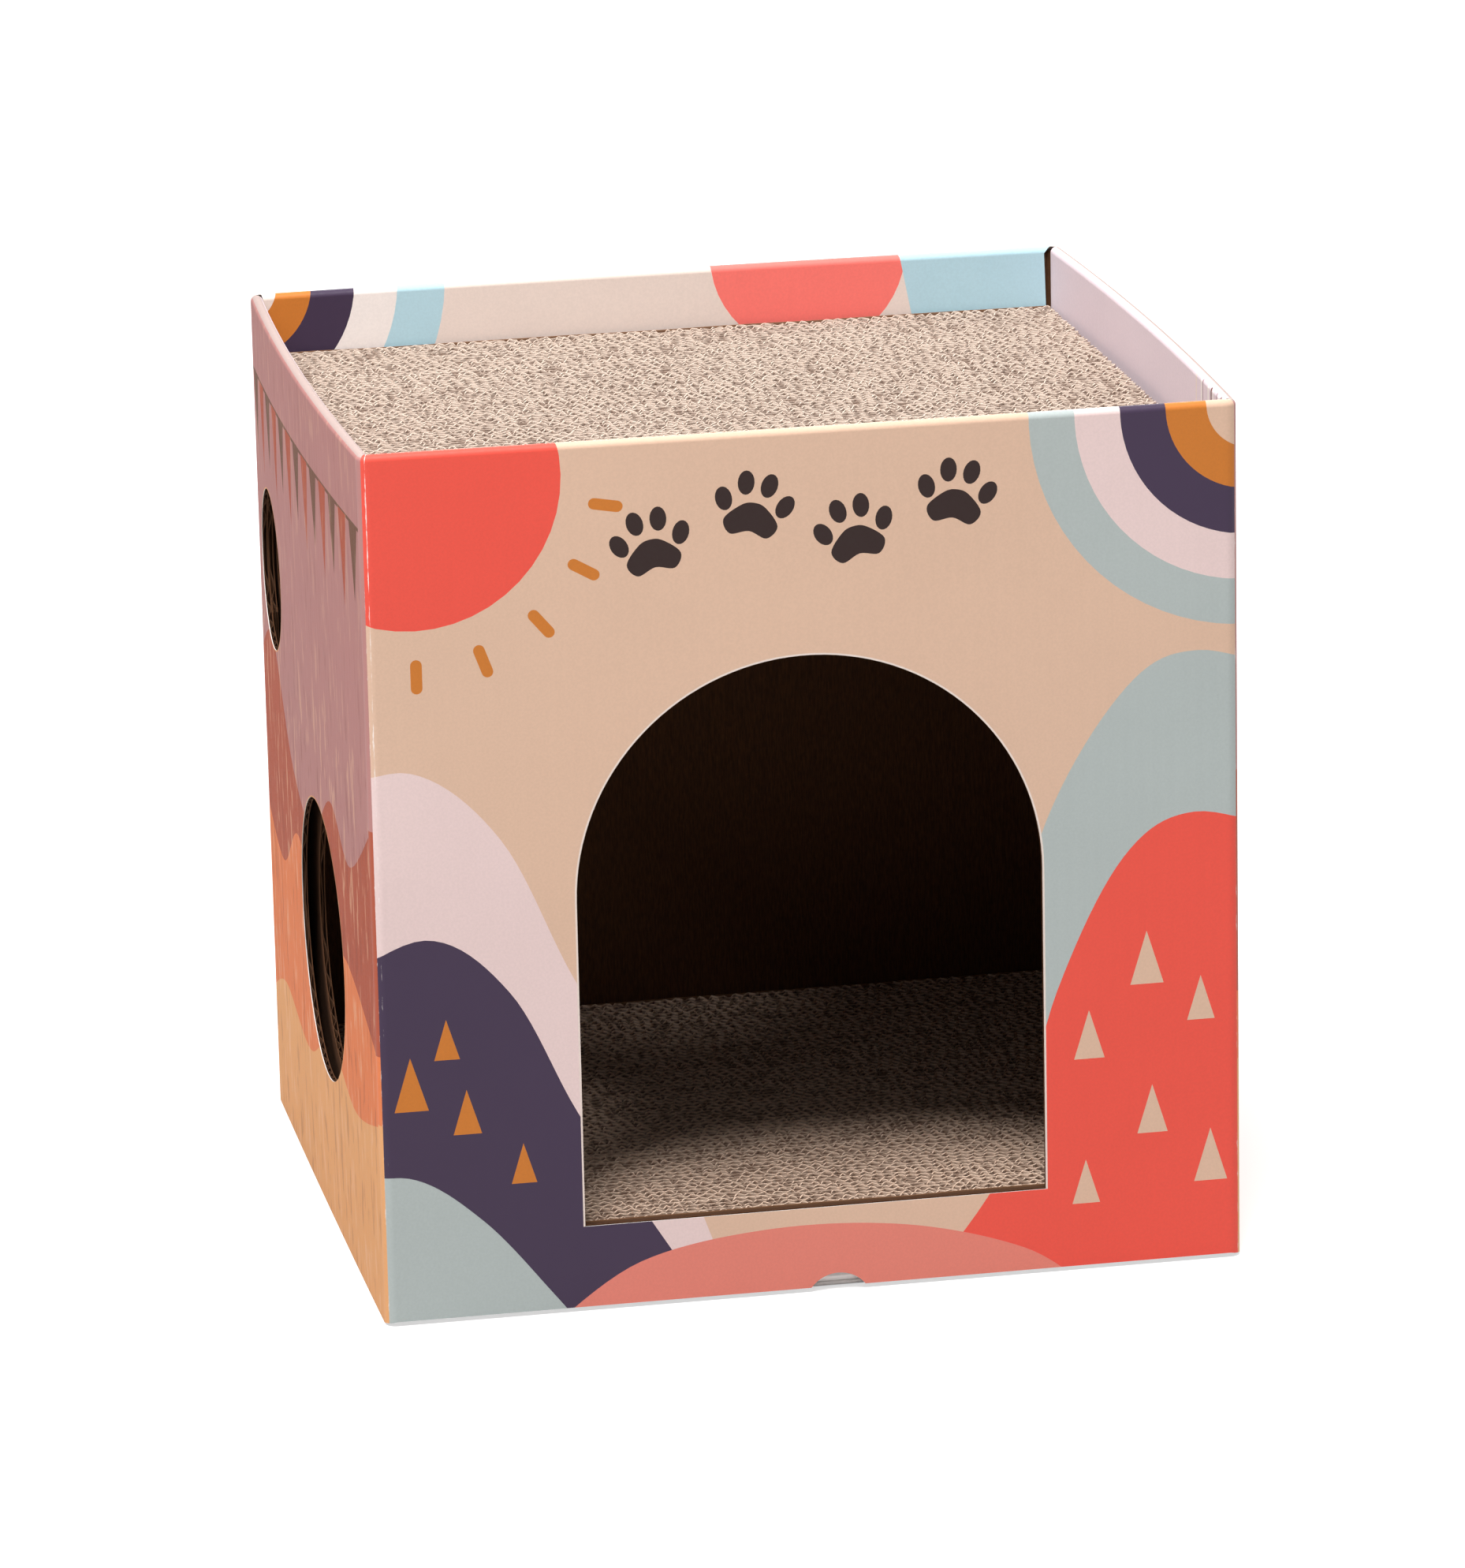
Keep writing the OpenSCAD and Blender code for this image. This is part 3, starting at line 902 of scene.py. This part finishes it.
piece.build("shelf_insert", "shelf", ["shelf_deck", "shelf_left_leg", "shelf_right_leg"],
            [print_base, kraft_and_shade, flute_and_shade])


# Base: the panel, the tuck flap with soft corners, and the dust flaps

def flat_board(name, body, node, place, outline, low, high, panels, ground=WHITE, outer=PRINT,
               lines=()):
    """A piece of one board that lies between the corners low and high of its own u and v."""
    piece = Piece()
    dots = grid_dots(low[0], high[0], low[1], high[1], FLAT_STEP)
    board(piece, place, outline, panels, (), (), ground, lines, dots, outer=outer)
    piece.build(name, body, [node], [print_base, kraft_and_shade, flute_and_shade])


base_low, base_high = mm_box("base_panel")
base_edge = -base_low[1] - BOARD / 2


def base_place(u, v, d):
    """A point of the base, whose front edge is folded up into the tuck flap."""
    a = max(v - base_edge, 0.0) * 2 / BOARD
    y, z = min(v, base_edge), BOARD / 2 - (BOARD / 2 - d) * math.cos(a)
    return (u, -y - (BOARD / 2 - d) * math.sin(a), z)


BASE_STEPS = 8
base_fold = base_edge + math.pi * BOARD / 2
base_rear = -base_high[1]
base_rows = [base_edge + (base_fold - base_edge) * k / BASE_STEPS for k in range(BASE_STEPS)]
base_lines = [((base_low[0] - OVERRUN, v), (base_high[0] + OVERRUN, v)) for v in base_rows]
base_dots = grid_dots(base_low[0], base_high[0], base_rear, base_edge, FLAT_STEP)
piece = Piece()
paper(piece, base_place, block(base_low[0], base_rear, base_high[0], base_fold), 0.0, PAPER, (PRINT, WHITE),
      (PRINT, PALE), lines=base_lines, dots=base_dots)
paper(piece, base_place, block(base_low[0], base_rear, base_high[0], base_edge), BOARD - PAPER, BOARD,
      (KRAFT_FACE, KRAFT), (KRAFT_FACE, KRAFT), dots=base_dots)
flutes(piece, base_place, [(base_low[0], base_high[0], base_rear, base_edge, ())], PAPER, BOARD - PAPER)
piece.build("base_board", "base", ["base_panel"], [print_base, kraft_and_shade, flute_and_shade])

tuck_low, tuck_high = mm_box("base_tuck_flap")
TUCK_ROUND, TUCK_POINTS = 14.0, 9
round_u, round_v = tuck_high[0] - TUCK_ROUND, tuck_high[2] - TUCK_ROUND
tuck_corner = arc(round_u, round_v, TUCK_ROUND, 0, 90, TUCK_POINTS)
tuck_outline = [(tuck_low[0], tuck_low[2]), (tuck_high[0], tuck_low[2])] + tuck_corner
tuck_outline += [(-u, v) for u, v in tuck_corner[::-1]]


def tuck_edge(u):
    """Height of the flap's upper edge, with its round corners."""
    past = max(abs(u) - round_u, 0.0)
    return round_v + math.sqrt(max(TUCK_ROUND ** 2 - past ** 2, 0.0))


# The flap bows forward into the thumb notch: how far, how wide, the half width of its finer mesh,
# and the heights where the bow is full and where it ends
THUMB_BOW, THUMB_SPREAD, THUMB_HALF = 3.2, 15.0, 32.0
BOW_FULL, BOW_END = 3.0, 20.0
BOW_STEPS, BOW_COLUMNS = 4, 17


def tuck_place(u, v, d):
    """A point of the flap, which bows from its fold upward."""
    up = v - tuck_low[2]
    rise = min(max(up / BOW_FULL, 0.0), 1.0)
    fall = max(1 - up / BOW_END, 0.0)
    across = math.exp(-((u - NOTCH_U) / THUMB_SPREAD) ** 2)
    bow = THUMB_BOW * across * rise * rise * (3 - 2 * rise) * fall * fall
    return (u, tuck_low[1] + d - bow, v)


bow_first, bow_last = NOTCH_U - THUMB_HALF, NOTCH_U + THUMB_HALF
bow_rows = [tuck_low[2] + BOW_FULL * k / BOW_STEPS for k in range(1, BOW_STEPS + 1)]
bow_rows += [tuck_low[2] + BOW_FULL + (BOW_END - BOW_FULL) * k / BOW_STEPS for k in range(1, BOW_STEPS + 1)]
bow_lines = [((bow_first, v), (bow_last, v)) for v in bow_rows]
bow_columns = np.linspace(bow_first, bow_last, BOW_COLUMNS)
bow_lines += [((u, tuck_low[2] - OVERRUN), (u, bow_rows[-1])) for u in bow_columns]
tuck_panels = [
    (tuck_low[0], bow_first, tuck_low[2], tuck_edge, ()),
    (bow_first, bow_last, tuck_low[2], bow_rows[BOW_STEPS - 1], bow_rows[BOW_STEPS:] + [tuck_high[2]]),
    (bow_last, tuck_high[0], tuck_low[2], tuck_edge, ()),
]
flat_board("tuck_flap_board", "tuck_flap", "base_tuck_flap", tuck_place, tuck_outline,
           (tuck_low[0], tuck_low[2]), (tuck_high[0], tuck_high[2]), tuck_panels, lines=bow_lines)


def dust_flap(name, side):
    """A flap that is hinged along its side's wall, 1 or -1, and whose rear corner is cut off aslant."""
    low, high = mm_box(name + "_dust_flap")
    reach = high[0] - low[0]
    hinge, tip = (high[0], low[0]) if side > 0 else (low[0], high[0])
    outline = [(hinge, -low[1]), (hinge, -high[1]), (tip, reach - high[1]), (tip, -low[1])]

    def place(u, v, d):
        return (u, -v, low[2] + d)

    def slant(u):
        return abs(hinge - u) - high[1]

    panels = [(low[0], high[0], slant, -low[1], ())]
    flat_board(name + "_dust_flap_board", name + "_flap", name + "_dust_flap", place, outline,
               (low[0], -high[1]), (high[0], -low[1]), panels, KRAFT, KRAFT_FACE)


dust_flap("left", -1)
dust_flap("right", 1)

# Scratch pads: strips of board on edge, glued side by side, with their flutes standing

# Width of a strip, pitch of its waves and the thickness of its flat and wavy papers
STRIP, PAD_PITCH = 4.2, 5.3
LINER, MEDIUM = 0.45, 0.55
# Flat papers: depth of their cut edge, how uneven it is, how far they stray and their tones.
# The outermost two are straight, cut higher, and kraft brown darkened further with painted shade of the gap
# along the walls.
LINER_SINK, LINER_UNEVEN, LINER_DRIFT, LINER_TONES = (0.5, 0.9), 0.4, 0.2, (0.95, 1.0)
EDGE_SINK, EDGE_TONE_AND_SHADE = 0.1, (0.34, 0.225, 0.15)
LINER_POINTS = 17
# Wavy papers: the same, and the spread of a strip's pitch, of the quarter waves' lengths and of their heights
MEDIUM_SINK, MEDIUM_UNEVEN, MEDIUM_TONES = (0.0, 0.08), 0.4, (0.97, 1.0)
PITCH_SPREAD, STEP_SPREAD, SWAY_SPREAD = (0.86, 1.14), (0.75, 1.25), (0.7, 1.0)
WAVE = (0, 1, 0, -1)
WAVE_CLEAR = 0.05
# More quarter waves are drawn than fit, by this share, and the last one keeps this share of its length.
STEP_SURPLUS, LAST_STEP = 1.2, 0.6
# Worn patches: their size along and across the strips, how deep they go and the noise at which they start
PATCH_X, PATCH_Y, PATCH_DEPTH, PATCH_START = 1.4, 6.5, 3.8, 0.55


def ribbon(store, path, low, tops, thick, tone):
    """A strip of paper on edge along a path of (x, y), from a floor height to its uneven top."""
    path = np.array(path)
    run = np.gradient(path, axis=0)
    side = np.stack([-run[:, 1], run[:, 0]], 1) / np.linalg.norm(run, axis=1)[:, None] * thick / 2
    n = len(path)
    floor_z = np.full(n, low)
    edges = ((side, tops), (-side, tops), (side, floor_z), (-side, floor_z))
    corners = [np.column_stack([path + s, z]) for s, z in edges]
    base = sum(len(p) for p in store["points"])
    store["points"] += corners
    i = base + np.arange(n - 1)
    left_top, right_top, left_low, right_low = i, i + n, i + 2 * n, i + 3 * n
    for a, b in ((left_top, right_top), (right_top, right_low), (right_low, left_low), (left_low, left_top)):
        store["faces"].append(np.stack([a, b, b + 1, a + 1], 1))
    for end, turn in ((base, 1), (base + n - 1, -1)):
        store["faces"].append(np.array([[end, end + 2 * n, end + 3 * n, end + n][::turn]]))
    store["tones"].append(np.tile(tone, (4 * (n - 1) + 2, 1)))


def patches(grid, x, y):
    """Smooth noise from 0 to 1 at places along x, from a grid of numbers one patch apart."""
    def split(t):
        whole = np.floor(t).astype(int)
        part = t - whole
        return whole, part * part * (3 - 2 * part)
    i, s = split(x / PATCH_X)
    j, t = split(np.full(len(x), y / PATCH_Y))
    lower = grid[j, i] * (1 - s) + grid[j, i + 1] * s
    upper = grid[j + 1, i] * (1 - s) + grid[j + 1, i + 1] * s
    return lower * (1 - t) + upper * t


def flat_paper(store, dice, low, high, y, inside):
    """A flat paper of a pad."""
    xs = np.linspace(low[0], high[0], LINER_POINTS)
    sink = dice.uniform(*LINER_SINK) if inside else EDGE_SINK
    # The outermost papers take the kraft brown with painted shade.
    tone = (dice.uniform(*LINER_TONES),) * 3 if inside else EDGE_TONE_AND_SHADE
    drift = np.array([dice.uniform(-LINER_DRIFT, LINER_DRIFT) for _ in xs]) * inside
    tops = high[2] - sink - np.array([dice.uniform(0.0, LINER_UNEVEN) for _ in xs])
    ribbon(store, np.column_stack([xs, y + drift]), low[2], tops, LINER, tone)


def wavy_paper(store, dice, low, high, y, strip, grid):
    """A wavy paper of a pad, between the flat papers at y and one strip further."""
    quarter = PAD_PITCH * dice.uniform(*PITCH_SPREAD) / 4
    drawn = int((high[0] - low[0]) / quarter * STEP_SURPLUS)
    inner = low[0] + np.cumsum([quarter * dice.uniform(*STEP_SPREAD) for _ in range(drawn)])
    inner = inner[inner < high[0] - LAST_STEP * quarter]
    xs = np.concatenate([[low[0]], inner, [high[0]]])
    start = dice.randrange(4)
    sway = np.array([WAVE[(start + i) % 4] * dice.uniform(*SWAY_SPREAD) for i in range(len(xs))])
    swing = (strip - LINER - MEDIUM) / 2 - WAVE_CLEAR
    sink = dice.uniform(*MEDIUM_SINK)
    worn = PATCH_DEPTH * np.maximum(patches(grid, xs - low[0], y - low[1]) - PATCH_START, 0.0)
    tops = high[2] - sink - worn - np.array([MEDIUM_UNEVEN * dice.random() ** 2 for _ in xs])
    tone = (dice.uniform(*MEDIUM_TONES),) * 3
    ribbon(store, np.column_stack([xs, y + strip / 2 + swing * sway]), low[2], tops, MEDIUM, tone)


def scratch_pad(name, body, node, seed, tint, shade):
    """A pad of flat and wavy papers by turns, whose cut upper edges are uneven."""
    low, high = mm_box(node)
    dice = random.Random(seed)
    store = {"points": [], "faces": [], "tones": []}
    count = round((high[1] - low[1]) / STRIP)
    strip = (high[1] - low[1] - LINER) / count
    columns, rows = int((high[0] - low[0]) / PATCH_X) + 2, int((high[1] - low[1]) / PATCH_Y) + 2
    grid = np.array([[dice.random() for _ in range(columns)] for _ in range(rows)])
    for k in range(count + 1):
        y = low[1] + LINER / 2 + strip * k
        flat_paper(store, dice, low, high, y, 0 < k < count)
        if k < count:
            wavy_paper(store, dice, low, high, y, strip, grid)
    points, faces = np.concatenate(store["points"]) * MM, np.concatenate(store["faces"])
    mesh = bpy.data.meshes.new(name)
    mesh.from_pydata(points.tolist(), [], faces.tolist())
    mesh.materials.append(pad_material(name + "_paper", high[2], tint, shade))
    tones = np.repeat(np.concatenate(store["tones"]), 4, axis=0)
    ink = mesh.color_attributes.new("ink", "FLOAT_COLOR", "CORNER")
    ink.data.foreach_set("color", np.column_stack([tones, np.ones(len(tones))]).ravel())
    show(mesh, name, body, [node])


scratch_pad("top_pad_strips", "top_pad", "top_scratch_pad", 11, rgb(232, 215, 200), rgb(216, 193, 175))
# The floor pad's paper is written warmer than the top pad's: painted warm bounce light inside the house.
scratch_pad("floor_pad_strips", "floor_pad", "floor_scratch_pad", 23, rgb(242, 215, 193), rgb(226, 193, 169))

# Stage: a pale floor, soft light and the camera

scene = bpy.context.scene
FLOOR_SIZE, FLOOR_DROP = 24.0, 0.0006
# The floor's own glow as the camera sees it: near the house and away from it, and the distances for these
GLOW_NEAR, GLOW_FAR, NEAR, FAR = 0.62, 0.95, 0.4, 2.4
bpy.ops.mesh.primitive_plane_add(size=FLOOR_SIZE, location=(0, 0, -FLOOR_DROP))
floor = bpy.context.object
floor.name = "floor"
g = new_graph("pale_floor")
g.surface.inputs["Base Color"].default_value = full(FLOOR_GREY)
g.surface.inputs["Roughness"].default_value = 0.9
g.surface.inputs["Emission Color"].default_value = (1.0, 1.0, 1.0, 1.0)
away = g.node("VectorMath", {0: g.coords()}, operation="LENGTH").outputs["Value"]
glow = g.remap(away, NEAR, FAR, GLOW_NEAR, GLOW_FAR)
g.set(g.surface.inputs["Emission Strength"], g.math("MULTIPLY", g.seen(), glow))
floor.data.materials.append(g.owner)

# The sky lights the object faintly, and the camera sees it white.
SKY_STRENGTH = 0.13
scene.world = bpy.data.worlds.new("studio")
g = Graph(scene.world, "Background")
g.surface.inputs["Color"].default_value = (1.0, 1.0, 1.0, 1.0)
g.set(g.surface.inputs["Strength"], g.math("MAXIMUM", g.seen(), SKY_STRENGTH))

# Lamps, all aimed at the house: place, width and watts
AIM = Vector((0, 0, 0.2))
LAMPS = {
    "key": ((-0.45, -1.1, 3.15), 1.1, 86),
    "front": ((-0.35, -1.3, 3.2), 1.0, 57),
    "fill": ((-1.75, -0.3, 2.6), 1.2, 45),
    "rear": ((1.0, 2.6, 2.1), 1.6, 32),
    "right": ((2.8, 0.3, 1.7), 1.6, 25),
}
for name, (place, width, watts) in LAMPS.items():
    lamp = bpy.data.lights.new(name, "AREA")
    lamp.shape, lamp.size, lamp.energy = "DISK", width, watts
    holder = bpy.data.objects.new(name, lamp)
    holder.location = place
    holder.rotation_euler = (AIM - Vector(place)).to_track_quat("-Z", "Y").to_euler()
    scene.collection.objects.link(holder)

# Camera, from its place, heading, dip and roll
CAMERA = (-0.6584, -3.4911, 1.1761)
SENSOR, LENS = 36.0, 188.89
YAW, DIP, ROLL = math.radians(10.654), math.radians(15.609), math.radians(-1.242)
ahead = Vector((math.sin(YAW) * math.cos(DIP), math.cos(YAW) * math.cos(DIP), -math.sin(DIP)))
across = Vector((math.cos(YAW), -math.sin(YAW), 0))
upward = across.cross(ahead)
axis_x = across * math.cos(ROLL) + upward * math.sin(ROLL)
axis_y = upward * math.cos(ROLL) - across * math.sin(ROLL)
lens = bpy.data.cameras.new("camera")
lens.sensor_width, lens.lens = SENSOR, LENS
eye = bpy.data.objects.new("camera", lens)
eye.matrix_world = Matrix.Translation(CAMERA) @ Matrix((axis_x, axis_y, -ahead)).transposed().to_4x4()
scene.collection.objects.link(eye)
scene.camera = eye
scene.view_settings.view_transform = "Standard"
